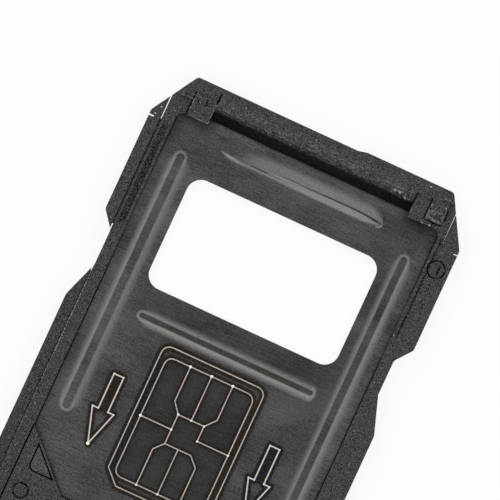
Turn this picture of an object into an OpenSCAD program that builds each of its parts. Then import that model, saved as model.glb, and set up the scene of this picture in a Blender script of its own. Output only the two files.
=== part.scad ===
// Tray for a nano-size SIM card: a black moulded frame, moulded round a pressed steel floor
// plate, with a face cap at the end that stays flush with the device.
// X runs across the tray, +Y points to the end that goes in first, and +Z is the side that the
// card is laid in from. The origin is on the resting plane, under the middle of the whole tray.

/* [Card] */
// Width of the card
card_w = 8.8; // [8:0.1:12]
// Length of the card
card_l = 12.3; // [12:0.1:15]
// Thickness of the card
card_t = 0.67; // [0.5:0.01:0.9]
// Leg of the card's cut corner
card_cut = 1.65; // [1.2:0.05:2.5]

/* [Fits] */
// Room between the card and each side wall of the pocket
side_room = 0.045; // [0.02:0.005:0.15]
// Room between the card and each end wall of the pocket
end_room = 0.1; // [0.03:0.01:0.15]
// Room between the card's cut corner and the key in the pocket's corner, as a leg of the corner
cut_room = 0.06; // [0.03:0.01:0.08]
// Room between the card and the clips over it
clip_room = 0.05; // [0.02:0.01:0.15]
// Gap round the plate where the frame grips it, and round the cap's tongue
seat_gap = 0.01; // [0.005:0.005:0.02]

/* [Floor plate] */
// Thickness of the plate
plate_t = 0.2; // [0.15:0.01:0.3]
// Height of the plate's underside over the resting plane
plate_lift = 0.12; // [0.1:0.01:0.3]
// Width of the plate's edge that the frame grips
plate_grip = 0.17; // [0.15:0.01:0.3]
// Width of the window
window_w = 6.42; // [4:0.02:6.6]
// Length of the window
window_l = 3.67; // [2:0.01:3.9]
// Corner radius of the window
window_r = 0.48; // [0.1:0.02:0.8]
// Distance of the window from the pocket's leading wall
window_from_wall = 1.76; // [1.3:0.02:1.9]

/* [Beads] */
// Depth of the pressed beads
bead_depth = 0.09; // [0.04:0.01:0.1]
// Width of a bead's flat bottom
bead_flat = 0.25; // [0.1:0.01:0.3]
// Width of each sloping shoulder
bead_slope = 0.17; // [0.08:0.01:0.2]
// Length of the slope at a bead's two ends
bead_nose = 0.06; // [0.03:0.01:0.15]
// Length of the two side beads
side_bead_l = 8.86; // [4:0.02:9.2]
// Distance of a side bead's middle from the pocket's side wall
side_bead_inset = 0.645; // [0.6:0.005:0.68]
// Distance of the side beads from the pocket's leading wall
side_bead_from_wall = 1.22; // [0.8:0.02:1.4]
// Length of the cross bead
cross_bead_l = 6.1; // [3:0.05:6.4]
// Distance of the cross bead's middle from the pocket's leading wall
cross_bead_from_wall = 6.36; // [6.1:0.02:7]

/* [Scoop] */
// Length of the scoop pressed behind the crossbar
scoop_l = 5.5; // [3:0.05:6]
// Distance of the scoop's lowest line from the pocket's leading wall
scoop_from_wall = 0.66; // [0.6:0.01:0.8]
// Length of the scoop's gentle ramp
scoop_ramp = 0.43; // [0.25:0.01:0.45]
// Width of its steep shoulder
scoop_shoulder = 0.2; // [0.1:0.01:0.25]
// Length of its pointed tip
scoop_tip = 0.85; // [0.5:0.05:1.2]
// Radius of its round end
scoop_end = 0.16; // [0.1:0.01:0.25]
// Width of the scoop's lowest line
scoop_line = 0.05; // [0.02:0.01:0.08]

/* [Rails and wings] */
// Width of a rail, from the pocket wall to the foot of the detent notch
rail_w = 0.375; // [0.34:0.005:0.6]
// Width of the wing outside the rail, which is the depth of the detent notch
wing_w = 0.42; // [0.25:0.01:0.7]
// Height of the rails over the card
rail_over = 0.05; // [0.03:0.01:0.2]
// Width of the ledge that the frame carries in under the plate
ledge_w = 0.2; // [0.05:0.01:0.22]
// Corner radius of the pocket
pocket_r = 0.25; // [0.1:0.01:0.3]
// Corner radius of the outline
outline_r = 0.16; // [0.05:0.01:0.2]
// Step from the left rail down to the wing behind its notch
wing_drop = 0.08; // [0.02:0.01:0.15]

/* [Relief grooves] */
// Width of the groove along the left rail
left_groove_w = 0.19; // [0.1:0.01:0.2]
// Distance of its middle from the pocket's side wall
left_groove_inset = 0.19; // [0.15:0.01:0.2]
// Distance of its start from the pocket's leading wall
left_groove_from_wall = 0.75; // [0.4:0.05:1]
// Width of the fine groove along the right rail
right_groove_w = 0.06; // [0.03:0.01:0.1]
// Distance of its middle from the pocket's side wall
right_groove_inset = 0.14; // [0.08:0.01:0.2]
// Distance of its start from the pocket's leading wall
right_groove_from_wall = 0.35; // [0.2:0.05:1]
// Length of the relief grooves
rail_groove_l = 3.7; // [2:0.1:5]
// Length over which a groove runs out
groove_fade = 0.5; // [0.2:0.05:1]
// Depth of the relief grooves
rail_groove_d = 0.05; // [0.02:0.01:0.08]

/* [Detent notches] */
// Distance of a notch from the leading edge
notch_from_lead = 4.95; // [3:0.05:7]
// Length of the steep flank that holds the tray in
notch_steep = 0.54; // [0.42:0.02:1]
// Length of the foot of the notch
notch_foot = 1.16; // [0.6:0.02:2]
// Length of the gentle flank
notch_gentle = 1.2; // [0.6:0.02:2]

/* [Leading end] */
// Length of the crossbar, from the leading edge to the pocket
crossbar_l = 1.11; // [1:0.01:1.6]
// Length of the crossbar's flat top
crossbar_flat = 0.5; // [0.4:0.01:0.54]
// Radius from the flat top to the steep face behind it
crossbar_round = 0.3; // [0.15:0.01:0.4]
// How far the frame fills the pocket's leading corners beside the clips, where the card is round
corner_fill = 0.15; // [0.05:0.01:0.16]
// How far each leading corner is cut back towards the middle
corner_cut = 0.91; // [0.7:0.01:1.1]
// Angle of the corner cut from the long axis
corner_angle = 30; // [24:1:38]
// How far the right half of the leading edge stands proud
lead_step = 0.07; // [0.02:0.01:0.1]
// Distance from the tray's middle to the start of that step
lead_step_x = 1.1; // [0.5:0.1:2]
// Length of the step along the edge
lead_step_run = 0.3; // [0.1:0.05:0.6]
// Bevel under the leading edge
lead_bevel = 0.08; // [0.04:0.01:0.09]
// Thickness of the clips that hold the card down
clip_t = 0.18; // [0.14:0.01:0.3]
// Width of a clip
clip_w = 0.74; // [0.5:0.02:1]
// How far a clip reaches over the card
clip_reach = 0.16; // [0.08:0.01:0.3]
// Distance between the left clip and the pocket's side wall
left_clip_inset = 0.25; // [0.2:0.01:0.4]
// Distance between the right clip and the pocket's side wall
right_clip_inset = 0.38; // [0.3:0.01:0.5]
// Height of the raised band at the leading edge over the clips
band_step = 0.03; // [0.01:0.01:0.06]
// Length of the band at the left corner
left_band_l = 0.77; // [0.6:0.01:0.9]
// Length of the band in front of the clips
clip_band_l = 0.49; // [0.4:0.01:0.55]
// Length of the band at the right corner
right_band_l = 0.35; // [0.25:0.01:0.4]

/* [Boss beside the right clip] */
// Groove between the band and the boss
boss_gap = 0.06; // [0.04:0.01:0.1]
// How far the boss stands over the right clip's width
boss_over = 0.2; // [0.1:0.01:0.3]
// Distance between the boss and the pocket's side wall
boss_inset = 0.08; // [0.05:0.01:0.15]
// Distance between the boss and the pocket's leading wall
boss_back = 0.03; // [0.02:0.01:0.1]
// Width of the rim round the pad that is sunk in the boss
pad_rim = 0.06; // [0.04:0.01:0.08]
// Length of the pad
pad_l = 0.24; // [0.15:0.01:0.35]
// Corner radius of the pad
pad_r = 0.06; // [0.03:0.01:0.07]
// Depth of the pad
pad_d = 0.05; // [0.02:0.01:0.08]

/* [Slits] */
// Width of the slit behind the left corner wedge
left_slit_w = 0.06; // [0.03:0.01:0.06]
// Width of the slit behind the right corner wedge
right_slit_w = 0.035; // [0.02:0.005:0.06]
// Width that a slit keeps at its closed end, as a share of its width
slit_taper = 0.5; // [0.4:0.1:1]
// Length of the left slit behind the pocket's leading wall, and of both wedges
left_slit_l = 0.6; // [0.3:0.02:0.7]
// Length of the right slit behind the pocket's leading wall
right_slit_l = 0.38; // [0.1:0.02:0.44]
// Distance of the right slit from the foot of the notch, towards the pocket
right_slit_inset = 0.15; // [0.1:0.01:0.2]
// Width of the nick between the left wedge and its wing
left_nick_w = 0.05; // [0.02:0.01:0.08]
// Depth of the left nick
left_nick_d = 0.16; // [0.05:0.01:0.2]
// Width of the nick between the right wedge and its wing
right_nick_w = 0.03; // [0.02:0.01:0.08]
// Depth of the right nick
right_nick_d = 0.13; // [0.05:0.01:0.2]
// Width of the splits at the two ends of the left notch's foot
split_w = 0.04; // [0.02:0.01:0.06]
// Length of these splits
split_l = 0.22; // [0.1:0.02:0.4]

/* [Seams and marks of the mould] */
// Width of the parting line on the left rail, and of the other seams
seam_w = 0.045; // [0.02:0.005:0.06]
// Depth of the seams
seam_d = 0.09; // [0.02:0.01:0.1]
// Distance of the key's pad from the line of the pocket's side wall
key_pad_x = 0.38; // [0.3:0.01:0.5]
// Distance of the key's pad from the line of the pocket's end wall
key_pad_y = 0.34; // [0.25:0.01:0.5]
// Corner radius of the key's pad
key_pad_r = 0.22; // [0.1:0.01:0.25]
// Distance of the key's pad from the slanting edge
key_pad_inset = 0.06; // [0.04:0.01:0.1]
// Radius of the ring on the right rail
ring_r = 0.3; // [0.2:0.01:0.32]
// Width of the lines of the ring and of the pin's mark
ring_line = 0.05; // [0.02:0.01:0.06]
// Distance of the ring from the pocket's leading wall
ring_from_wall = 1.28; // [1:0.02:1.5]
// Radius of the mark of a mould pin on the head
pin_mark_r = 0.26; // [0.15:0.01:0.3]
// Distance of the pin's mark from the line of the pocket's side wall
pin_mark_x = 0.47; // [0.35:0.01:0.6]
// Distance of the pin's mark behind the pocket's end wall
pin_mark_y = 0.34; // [0.32:0.01:0.6]
// Depth of these marks
mark_d = 0.06; // [0.01:0.01:0.08]

/* [Head and cap] */
// Length of the solid head behind the pocket
head_l = 1.82; // [1.4:0.02:4]
// Width of the head's tongue in the cap
tongue_w = 6; // [3:0.1:8]
// Thickness of the tongue
tongue_t = 0.5; // [0.3:0.05:0.6]
// Length of the tongue
tongue_l = 0.6; // [0.3:0.05:0.7]
// Height of the cap
cap_h = 1.9; // [1.7:0.05:2.6]
// Thickness of the cap
cap_t = 1.1; // [1:0.05:1.5]
// Bevel round the cap's outer face
cap_bevel = 0.12; // [0.05:0.01:0.25]
// Radius of the hole for the ejector pin
pin_hole_r = 0.45; // [0.3:0.01:0.5]
// Wall between the pin hole and the tray's side, and round its outer side
pin_hole_wall = 0.3; // [0.2:0.01:0.6]

/* [Hidden] */
$fn = 48;

// Reach of a cutter past the face that it cuts, and of one form into the form that carries it
over = 0.5;
lap = 0.03;

// The pocket and the outline, from the card outwards
pocket_w = card_w + 2 * side_room;
pocket_l = card_l + 2 * end_room;
pocket_cut = card_cut + cut_room;
wall_x = pocket_w / 2;
rail_x = wall_x + rail_w;
wing_x = rail_x + wing_w;
lead_x = wing_x - corner_cut;

// Places along Y, from the leading edge back to the cap's face
total_l = crossbar_l + pocket_l + head_l + cap_t;
lead_y = total_l / 2;
wall_y = lead_y - crossbar_l;
end_y = wall_y - pocket_l;
head_y = end_y - head_l;

// Heights over the resting plane
floor_z = plate_lift + plate_t;
card_z = floor_z + card_t;
rail_z = card_z + rail_over;
clip_z = card_z + clip_room;
clip_top = clip_z + clip_t;
band_z = clip_top + band_step;

// The detent notch, from its steep flank to its gentle one
notch_y = lead_y - notch_from_lead;
foot_lead_y = notch_y - notch_steep;
foot_back_y = foot_lead_y - notch_foot;

// Where the crossbar's flat top ends and its steep face begins
slope_y = lead_y - lead_step - crossbar_flat;

// Where the clips stand, from their outer side to their inner side
left_clip = [-wall_x + left_clip_inset, -wall_x + left_clip_inset + clip_w];
right_clip = [wall_x - right_clip_inset - clip_w, wall_x - right_clip_inset];

// Places of the slits and of the line between wing and rail
left_slit_x = -rail_x - left_slit_w / 2;
right_slit_x = rail_x - right_slit_inset;
slit_y = wall_y - left_slit_l;

// A pressed bead keeps the plate's thickness, so its outer side is this much wider
bead_flare = plate_t * tan(atan(bead_depth / bead_slope) / 2);
thin = 0.001;

// The cap reaches past the wings by the pin hole and its two walls
pin_hole_x = wing_x + pin_hole_wall + pin_hole_r;
cap_w = 2 * (pin_hole_x + pin_hole_r + pin_hole_wall);

// A rectangle with round corners, lying between two points
module rounded_rect(low, high, r) {
    translate(low + [r, 0]) square(high - low - [2 * r, 0]);
    translate(low + [0, r]) square(high - low - [0, 2 * r]);
    for (x = [low[0] + r, high[0] - r], y = [low[1] + r, high[1] - r])
        translate([x, y]) circle(r);
}

// Rounds the outer and the inner corners of a flat shape
module softened(r) {
    offset(r = -r) offset(r = 2 * r) offset(r = -r) children();
}

// A box between two corners
module block(low, high) {
    translate(low) cube(high - low);
}

// One side of the outline, from the leading corner back past the head
function side_points() = [
    [lead_x, lead_y],
    [wing_x, lead_y - corner_cut / tan(corner_angle)],
    [wing_x, notch_y],
    [rail_x, foot_lead_y],
    [rail_x, foot_back_y],
    [wing_x, foot_back_y - notch_gentle],
    [wing_x, head_y - over]
];

// The outline of the frame, seen from above
module outline() {
    right = side_points();
    left = [for (i = [len(right) - 1:-1:1]) [-right[i][0], right[i][1]]];
    intersection() {
        softened(outline_r) polygon(concat(right, left, [
            [-lead_x, lead_y - lead_step],
            [lead_step_x, lead_y - lead_step],
            [lead_step_x + lead_step_run, lead_y]
        ]));
        translate([-wing_x - over, head_y]) square([2 * (wing_x + over), total_l]);
    }
}

// The room for the card, with the corner left solid that keys the card's cut corner
module pocket() {
    difference() {
        union() {
            rounded_rect([-wall_x, end_y], [wall_x, wall_y - corner_fill], pocket_r);
            translate([left_clip[0] + lap, wall_y - 2 * corner_fill])
                square([right_clip[1] - left_clip[0] - 2 * lap, 2 * corner_fill]);
        }
        polygon([
            [-wall_x - over, end_y - over],
            [-wall_x + pocket_cut + over, end_y - over],
            [-wall_x + pocket_cut, end_y],
            [-wall_x, end_y + pocket_cut],
            [-wall_x - over, end_y + pocket_cut + over]
        ]);
    }
}

// The plate's outline, grown by the gap where the frame grips it
module plate_outline(gap = 0) {
    side = plate_grip + gap;
    rounded_rect([-wall_x - side, end_y - side], [wall_x + side, wall_y + side], pocket_r);
}

// The solid that the rails, wings and head are cut from
module frame_blank() {
    difference() {
        linear_extrude(rail_z) outline();
        translate([0, 0, floor_z]) linear_extrude(band_z) pocket();
        translate([0, 0, -over]) linear_extrude(over + floor_z)
            rounded_rect([-wall_x + ledge_w, end_y + ledge_w],
                         [wall_x - ledge_w, wall_y - ledge_w], pocket_r);
        block([left_clip[1], wall_y - over, floor_z], [right_clip[0], slope_y, band_z + over]);
    }
}

// The crossbar's steep face, rounded at its top, so that the contacts ride over it as the tray
// comes out. The face runs from the plate to where it touches the round.
module crossbar_slope() {
    foot = [wall_y, floor_z];
    middle = [slope_y, band_z - crossbar_round];
    reach = foot - middle;
    touch_angle = atan2(reach[1], reach[0]) - acos(crossbar_round / norm(reach));
    touch = middle + crossbar_round * [cos(touch_angle), sin(touch_angle)];
    translate([left_clip[1], 0, 0]) rotate([90, 0, 90])
        linear_extrude(right_clip[0] - left_clip[1]) {
            polygon([foot, touch, middle, [slope_y, floor_z]]);
            intersection() {
                translate(middle) circle(crossbar_round, $fn = 96);
                translate([wall_y, floor_z]) square([slope_y - wall_y, band_z]);
            }
        }
}

// The raised band along the leading edge, which comes further back at the left corner
module leading_band() {
    linear_extrude(band_z) intersection() {
        outline();
        union() {
            translate([-wing_x, lead_y - left_band_l])
                square([wing_x + left_clip[0], crossbar_l]);
            translate([left_clip[0], lead_y - clip_band_l])
                square([right_clip[1] - left_clip[0], crossbar_l]);
            translate([left_clip[1], slope_y])
                square([right_clip[0] - left_clip[1], crossbar_l]);
            translate([right_clip[1] - boss_over, lead_y - right_band_l])
                square([wing_x, crossbar_l]);
        }
    }
}

// A clip stands on the crossbar's end and reaches over the card
module clip(x) {
    block([x[0], wall_y - clip_reach, clip_z], [x[1], lead_y - clip_band_l, clip_top]);
}

// The boss beside the right clip, with a sunk pad on it
module right_boss() {
    low = [right_clip[1] - boss_over, wall_y + boss_back];
    high = [wall_x - boss_inset, lead_y - right_band_l - boss_gap];
    difference() {
        translate([0, 0, clip_z]) linear_extrude(band_z - clip_z)
            rounded_rect(low, high, seam_w);
        translate([0, 0, band_z - pad_d]) linear_extrude(over)
            rounded_rect(low + [pad_rim, pad_rim],
                         [high[0] - pad_rim, low[1] + pad_rim + pad_l], pad_r);
    }
    block([low[0], high[1] - seam_w, clip_z], [high[0], lead_y - right_band_l + lap, clip_top]);
}

// A slit right through, behind the wedge at a leading corner, which narrows to its closed end
module wedge_slit(x, w, long) {
    end_w = w * slit_taper;
    translate([0, 0, -over]) linear_extrude(rail_z + 2 * over) polygon([
        [x - end_w / 2, wall_y - long], [x + end_w / 2, wall_y - long],
        [x + w / 2, lead_y], [x - w / 2, lead_y]
    ]);
}

// A nick between the wedge and the wing
module wing_nick(side, w, deep) {
    x = side * (wing_x - deep);
    block([min(x, side * (wing_x + over)), slit_y - w, -over],
          [max(x, side * (wing_x + over)), slit_y, rail_z + over]);
}

// The splits between the left rail and its wing, at the two ends of the notch's foot
module notch_splits() {
    for (y = [foot_lead_y, foot_back_y - split_l])
        block([left_slit_x - split_w / 2, y, -over],
              [left_slit_x + split_w / 2, y + split_l, rail_z + over]);
}

// The wing behind the left notch lies a little lower than its rail
module wing_step() {
    block([-wing_x - over, head_y - over, rail_z - wing_drop],
          [left_slit_x, foot_back_y, rail_z + over]);
}

// A shallow groove along Y in the rails' top, which runs out over its last stretch
module rail_groove(x, w, from) {
    to = from - rail_groove_l;
    translate([x - w / 2, 0, rail_z]) rotate([90, 0, 90]) linear_extrude(w) polygon([
        [from, over],
        [from, -rail_groove_d],
        [to + groove_fade, -rail_groove_d],
        [to, 0],
        [to, over]
    ]);
}

// A seam along Y in the rails' top
module seam(x, from, to) {
    block([x - seam_w / 2, to, rail_z - seam_d], [x + seam_w / 2, from, band_z + over]);
}

// The smooth pad on the corner key, inside its slanting edge
module key_pad() {
    slant = pocket_cut - sqrt(2) * key_pad_inset;
    intersection() {
        translate([-wall_x + key_pad_x, end_y + key_pad_y])
            rounded_rect([0, 0], [pocket_cut, pocket_cut], key_pad_r);
        translate([-wall_x, end_y]) polygon([[0, 0], [slant, 0], [0, slant]]);
    }
}

// The seam round that pad
module key_seam() {
    translate([0, 0, rail_z - seam_d]) linear_extrude(over) difference() {
        key_pad();
        offset(delta = -seam_w) key_pad();
    }
}

// A ring that the mould leaves
module ring_mark(r) {
    difference() {
        circle(r);
        circle(r - ring_line);
    }
}

// The ring with its stroke on the right rail
module rail_mark() {
    translate([rail_x, wall_y - ring_from_wall, rail_z - mark_d]) linear_extrude(over) {
        ring_mark(ring_r);
        translate([ring_line, -ring_r / 2]) square([ring_line, ring_r]);
    }
}

// The round mark of a mould pin on the head
module pin_mark() {
    translate([-wall_x + pin_mark_x, end_y - pin_mark_y, rail_z - mark_d])
        linear_extrude(over) ring_mark(pin_mark_r);
}

// The tongue that the cap is fitted on
module tongue(gap = 0) {
    z = rail_z / 2;
    block([-tongue_w / 2 - gap, head_y - tongue_l - gap, z - tongue_t / 2 - gap],
          [tongue_w / 2 + gap, head_y + over, z + tongue_t / 2 + gap]);
}

// The moulded frame
module tray_frame() {
    color("#3b3a3d") difference() {
        union() {
            frame_blank();
            crossbar_slope();
            leading_band();
            clip(left_clip);
            clip(right_clip);
            right_boss();
            tongue();
        }
        translate([0, 0, plate_lift - seat_gap])
            linear_extrude(plate_t + 2 * seat_gap) plate_outline(seat_gap);
        wedge_slit(left_slit_x, left_slit_w, left_slit_l);
        wedge_slit(right_slit_x, right_slit_w, right_slit_l);
        wing_nick(-1, left_nick_w, left_nick_d);
        wing_nick(1, right_nick_w, right_nick_d);
        notch_splits();
        wing_step();
        rail_groove(-wall_x - left_groove_inset, left_groove_w, wall_y - left_groove_from_wall);
        rail_groove(wall_x + right_groove_inset, right_groove_w, wall_y - right_groove_from_wall);
        seam(left_slit_x, slit_y, head_y);
        seam(-wall_x, end_y + pocket_cut, head_y);
        seam(wall_x, end_y, head_y);
        seam(left_clip[0], lead_y - clip_band_l, wall_y - clip_reach);
        seam(left_clip[1], lead_y - right_band_l, slope_y);
        key_seam();
        rail_mark();
        pin_mark();
        translate([-wing_x, lead_y - lead_step, 0]) rotate([90, 0, 90])
            linear_extrude(2 * wing_x) polygon([
                [-lead_bevel, -over], [-lead_bevel, 0], [0, lead_bevel],
                [over, lead_bevel + over], [over, -over]
            ]);
    }
}

// A bead between two points, as the space that it sinks: a flat bottom and sloping shoulders
module bead(from, to) {
    low_r = bead_flat / 2;
    top_r = low_r + bead_slope;
    along = (to - from) / norm(to - from);
    hull() {
        for (end = [from + (low_r + bead_nose) * along, to - (low_r + bead_nose) * along])
            translate([end[0], end[1], -bead_depth]) cylinder(r = low_r, h = thin, $fn = 32);
        for (end = [from + top_r * along, to - top_r * along])
            translate([end[0], end[1], -thin]) cylinder(r = top_r, h = 2 * thin, $fn = 32);
    }
}

// The back of a bead, which stands out under the plate
module bead_back(from, to) {
    low_r = bead_flat / 2 + bead_flare;
    top_r = low_r + bead_slope;
    end_r = top_r - bead_flare;
    run = norm(to - from);
    translate([from[0], from[1], 0])
        rotate([0, 0, atan2(to[1] - from[1], to[0] - from[0])]) {
            for (x = [end_r, run - end_r]) translate([x, 0, 0]) {
                translate([0, 0, -bead_depth]) cylinder(r1 = low_r, r2 = top_r, h = bead_depth);
                cylinder(r = top_r, h = plate_t / 4);
            }
            translate([end_r, 0, 0]) rotate([90, 0, 90]) linear_extrude(run - 2 * end_r) polygon([
                [-low_r, -bead_depth], [low_r, -bead_depth], [top_r, 0],
                [top_r, plate_t / 4], [-top_r, plate_t / 4], [-top_r, 0]
            ]);
        }
}

// The scoop behind the crossbar: a gentle ramp down, a steep shoulder up, a round end and a tip
module scoop(flare = 0) {
    x = scoop_l / 2;
    y = wall_y - scoop_from_wall;
    heel = y - scoop_shoulder;
    hull() {
        translate([0, 0, -thin]) linear_extrude(2 * thin) offset(delta = flare) polygon([
            [-x, y - scoop_line],
            [-x + scoop_tip, y + scoop_ramp],
            [x - 2 * scoop_end, y + scoop_ramp],
            [x - scoop_end / 3, y + scoop_line],
            [x, y - scoop_line],
            [x - scoop_end / 3, heel + scoop_line],
            [x - scoop_end, heel],
            [-x + scoop_tip / 2, heel]
        ]);
        translate([-x + scoop_tip, y - scoop_line - flare, -bead_depth])
            cube([scoop_l - scoop_tip - scoop_end + flare, scoop_line + 2 * flare, thin]);
    }
}

// The ends of the three straight beads
side_bead_x = wall_x - side_bead_inset;
side_bead_y = wall_y - side_bead_from_wall;
cross_bead_y = wall_y - cross_bead_from_wall;
bead_runs = [
    [[-side_bead_x, side_bead_y], [-side_bead_x, side_bead_y - side_bead_l]],
    [[side_bead_x, side_bead_y], [side_bead_x, side_bead_y - side_bead_l]],
    [[-cross_bead_l / 2, cross_bead_y], [cross_bead_l / 2, cross_bead_y]]
];

// The pressed floor plate
module floor_plate() {
    color("#4c4b49") translate([0, 0, plate_lift]) difference() {
        union() {
            linear_extrude(plate_t) plate_outline();
            for (run = bead_runs) bead_back(run[0], run[1]);
            scoop(bead_flare);
        }
        translate([0, 0, plate_t]) {
            for (run = bead_runs) bead(run[0], run[1]);
            scoop();
        }
        translate([0, 0, -over]) linear_extrude(plate_t + 2 * over)
            rounded_rect([-window_w / 2, wall_y - window_from_wall - window_l],
                         [window_w / 2, wall_y - window_from_wall], window_r);
    }
}

// The cap's round-ended bar, bevelled round its outer face
module cap_bar() {
    r = cap_h / 2;
    mid = cap_w / 2 - r;
    body_t = cap_t - cap_bevel;
    translate([0, head_y, r]) rotate([90, 0, 0]) {
        for (x = [-mid, mid]) translate([x, 0, 0]) {
            cylinder(r = r, h = body_t);
            translate([0, 0, body_t]) cylinder(r1 = r, r2 = r - cap_bevel, h = cap_bevel);
        }
        translate([-mid, 0, 0]) rotate([90, 0, 90]) linear_extrude(2 * mid) polygon([
            [-r, 0], [-r, body_t], [-r + cap_bevel, cap_t],
            [r - cap_bevel, cap_t], [r, body_t], [r, 0]
        ]);
    }
}

// The face cap, with the hole for the ejector pin beside the tray
module face_cap() {
    color("#333336") difference() {
        cap_bar();
        tongue(seat_gap);
        translate([pin_hole_x, head_y + over, cap_h / 2]) rotate([90, 0, 0])
            cylinder(r = pin_hole_r, h = cap_t + 2 * over);
    }
}

tray_frame();
floor_plate();
face_cap();
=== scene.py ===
# %% [markdown]
# The object is a tray for a nano-size SIM card, seen straight from above on white. A black plastic
# frame is moulded round a pressed and coated steel plate. The solids come ready from the CAD model.
# This lesson gives them their finishes, adds the marks that a laser burns into the plate, and
# lights and frames them. Blender works in metres, and the tray is only 16 mm long, so lengths are
# written in millimetres and multiplied by MM where Blender takes them.

# %% The frame and its measures
import math

import bmesh
import bpy
import numpy as np
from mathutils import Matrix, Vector


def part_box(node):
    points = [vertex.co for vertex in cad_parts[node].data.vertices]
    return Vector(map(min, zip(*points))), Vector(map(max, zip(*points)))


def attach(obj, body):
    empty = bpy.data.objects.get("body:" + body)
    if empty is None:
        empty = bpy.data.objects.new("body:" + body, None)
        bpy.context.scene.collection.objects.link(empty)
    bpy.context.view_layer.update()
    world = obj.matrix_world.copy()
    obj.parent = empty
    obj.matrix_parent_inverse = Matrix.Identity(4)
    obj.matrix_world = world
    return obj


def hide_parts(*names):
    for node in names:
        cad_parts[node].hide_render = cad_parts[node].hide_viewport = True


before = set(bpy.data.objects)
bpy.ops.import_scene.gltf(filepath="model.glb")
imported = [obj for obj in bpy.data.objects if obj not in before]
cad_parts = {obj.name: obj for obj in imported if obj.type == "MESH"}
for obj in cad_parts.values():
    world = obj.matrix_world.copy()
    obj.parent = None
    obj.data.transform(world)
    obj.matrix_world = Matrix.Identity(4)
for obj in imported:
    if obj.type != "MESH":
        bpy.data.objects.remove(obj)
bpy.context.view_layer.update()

MM = 0.001
# The crossbar's length and the rails' height in the CAD model
CROSSBAR = 1.11 * MM
RAIL_Z = 1.04 * MM
wall_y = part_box("tray_frame")[1][1] - CROSSBAR
lead_wall = wall_y / MM
plate_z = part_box("floor_plate")[1][2]
print("plate's top at", round(plate_z / MM, 3), "mm, pocket's leading wall at", round(lead_wall, 3), "mm")


def add_object(name, data):
    """A new object with the given data, linked to the scene."""
    made = bpy.data.objects.new(name, data)
    bpy.context.scene.collection.objects.link(made)
    return made


def add_mesh(name, shape):
    """A new object made from a bmesh, which is freed."""
    data = bpy.data.meshes.new(name)
    shape.to_mesh(data)
    shape.free()
    return add_object(name, data)


# %% [markdown]
# The photograph was taken from straight above with a long lens, and the tray lies turned by a
# little under 25 degrees on it. So the camera looks straight down and is rolled instead of the
# tray. A very long lens from 40 cm away gives the almost parallel view of a macro picture.

# %% The camera
# The picture's width at the rails' top, the camera's place, and its sensor in millimetres
PICTURE_W = 15.43 * MM
CAMERA_X = -0.648 * MM
CAMERA_BEHIND_WALL = 3.136 * MM
CAMERA_HEIGHT = 400 * MM
SENSOR = 36
ROLL = math.radians(24.8)

lens = bpy.data.cameras.new("camera")
camera = add_object("camera", lens)
bpy.context.scene.camera = camera
lens.sensor_width = SENSOR
lens.lens = SENSOR * (CAMERA_HEIGHT - RAIL_Z) / PICTURE_W
lens.clip_start = 20 * MM
lens.clip_end = 10
camera.location = (CAMERA_X, wall_y - CAMERA_BEHIND_WALL, CAMERA_HEIGHT)
camera.rotation_euler = (0, 0, ROLL)
print("lens of", round(lens.lens), "mm, rolled by", round(math.degrees(ROLL), 1), "degrees")

# %% [markdown]
# The floor of the tray is a plate of sheet steel, 0.2 mm thick, with three beads and a scoop
# pressed into it. In the CAD model each bead has straight shoulders. On the real plate the
# shoulder leaves the bead's flat bottom at a crease and then runs out softly into the sheet. A
# heightfield shows that best: a grid whose points sink by a function of their place. The grid is
# fine where the sheet bends and coarse where it is flat. Distances are in millimetres: x across
# from the tray's middle, and y back from the pocket's leading wall. Beside its depth, each place
# gets painted light: a highlight is painted on the shoulders, and shade is painted dark in a crease.

# %% The beads
# How deep the plate is pressed
DEPTH = 0.09
# The width of the narrow rim round a bead's end, and how strong the highlight painted on it is
RIM = 0.12
RIM_HIGHLIGHT = 1.4
# How fast the shoulders narrow round an end, and how hollow their slope is
END_POWER = 1.4
SLOPE_POWER = 1.5


def soft(value, start, end):
    """0 up to start, 1 from end on, and a soft rise between them; start may be the larger."""
    t = np.clip((value - start) / (end - start), 0, 1)
    return t * t * (3 - 2 * t)


class Bead:
    """A straight bead with a flat bottom, and on each side a shoulder that runs out softly.

    flat is half the bottom's width. reach and highlight hold a value for each side, highlight being
    the strength of the highlight painted on that shoulder, and tapers one for each end.
    """

    def __init__(self, start, end, flat, reach, paleness, tapers):
        self.start, self.end, self.flat = np.array(start), np.array(end), flat
        self.reach, self.paleness, self.tapers = reach, paleness, tapers

    def pressed(self, places):
        """How deep each place is sunk by the bead, and how strong the highlight painted there is."""
        run = self.end - self.start
        length = np.linalg.norm(run)
        along = (places - self.start) @ run / length
        side = (places - self.start) @ np.array((-run[1], run[0])) / length
        beyond = np.maximum(np.maximum(-along, along - length), 0)
        # Round an end, and before an end that tapers, the shoulders narrow to the rim
        full = (side ** 2 / np.maximum(side ** 2 + beyond ** 2, 1e-9)) ** END_POWER
        for to_end, taper in zip((along, length - along), self.tapers):
            if taper:
                full = full * soft(to_end, -RIM, taper)
        reach = RIM + (np.where(side < 0, self.reach[0], self.reach[1]) - RIM) * full
        gap = np.hypot(side, beyond) - self.flat
        # How strong the highlight painted on each shoulder is, and on the rim round the ends
        strength = np.where(side < 0, self.paleness[0], self.paleness[1])
        strength = strength * full + RIM_HIGHLIGHT * (1 - full)
        sunk = DEPTH * (1 - np.clip(gap / reach, 0, 1)) ** SLOPE_POWER
        # The painted highlight runs from the crease out over the shoulder
        pale = soft(gap, reach, 0.03) * soft(gap, -0.012, 0.02) * strength
        return sunk, pale


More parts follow.
